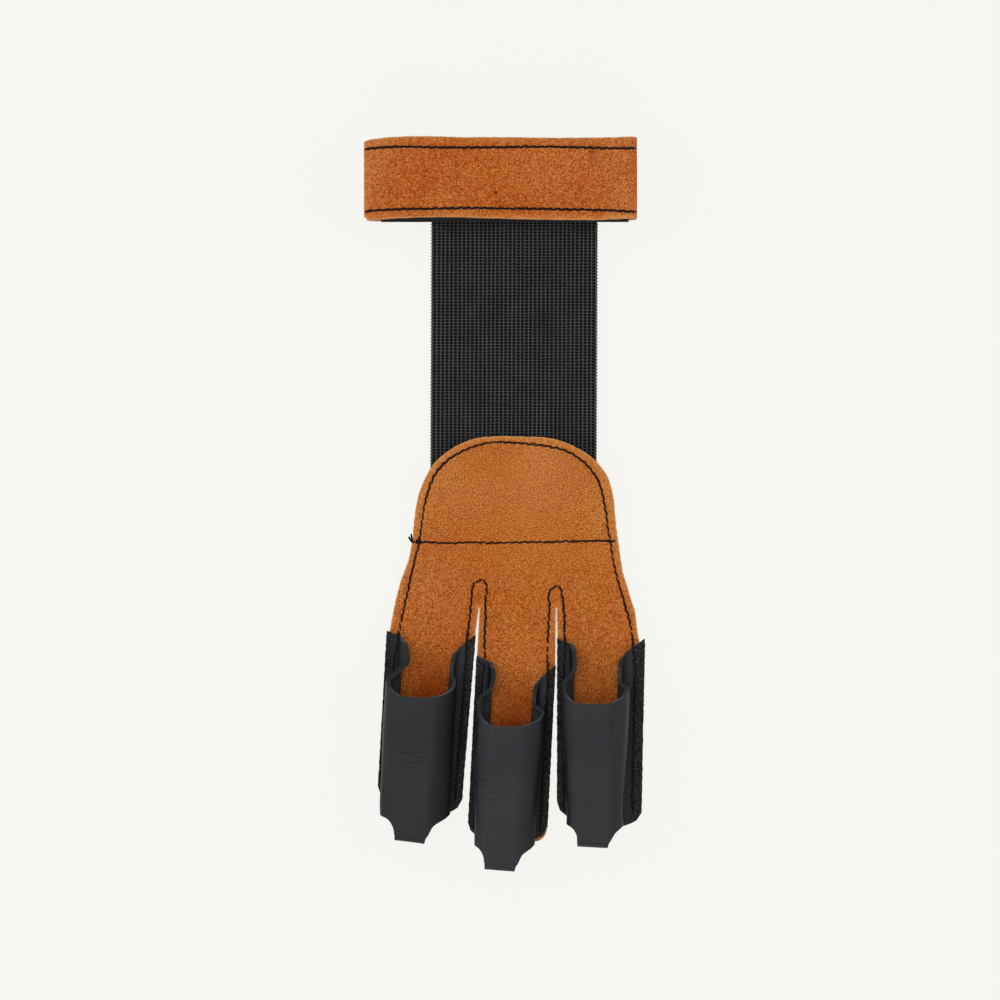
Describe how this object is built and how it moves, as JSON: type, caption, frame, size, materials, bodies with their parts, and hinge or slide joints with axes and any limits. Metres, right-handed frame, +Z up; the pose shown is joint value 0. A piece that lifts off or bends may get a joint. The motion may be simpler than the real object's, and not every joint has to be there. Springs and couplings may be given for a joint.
{
  "type": "archery glove",
  "caption": "Archery finger glove lying palm up: suede hand panel with slit finger backs, black leather finger stalls, webbing back and a closed suede wrist strap.",
  "frame": {"origin": "centre of the bounding box, on the surface that the glove lies on", "axes": "+Z up, away from the surface, with the palm side up; +Y from the finger tips to the wrist strap; +X to the right as seen from above with the strap at the top"},
  "size_m": [0.085, 0.2214, 0.0149],
  "materials": {
    "strap_suede": "napped suede, matt",
    "panel_suede": "napped suede, matt",
    "stall_leather": "smooth black leather, satin, fuzzy cut edges",
    "elastic_webbing": "coarse woven elastic, matt",
    "closure_tape": "hook-and-loop pile, matt"
  },
  "bodies": {
    "root": {"wrist_strap": "strap_suede", "loop_tape": "closure_tape", "hook_tape": "closure_tape", "webbing": "elastic_webbing", "hand_panel": "panel_suede", "stall_left": "stall_leather", "stall_middle": "stall_leather", "stall_right": "stall_leather"}
  },
  "joints": []
}
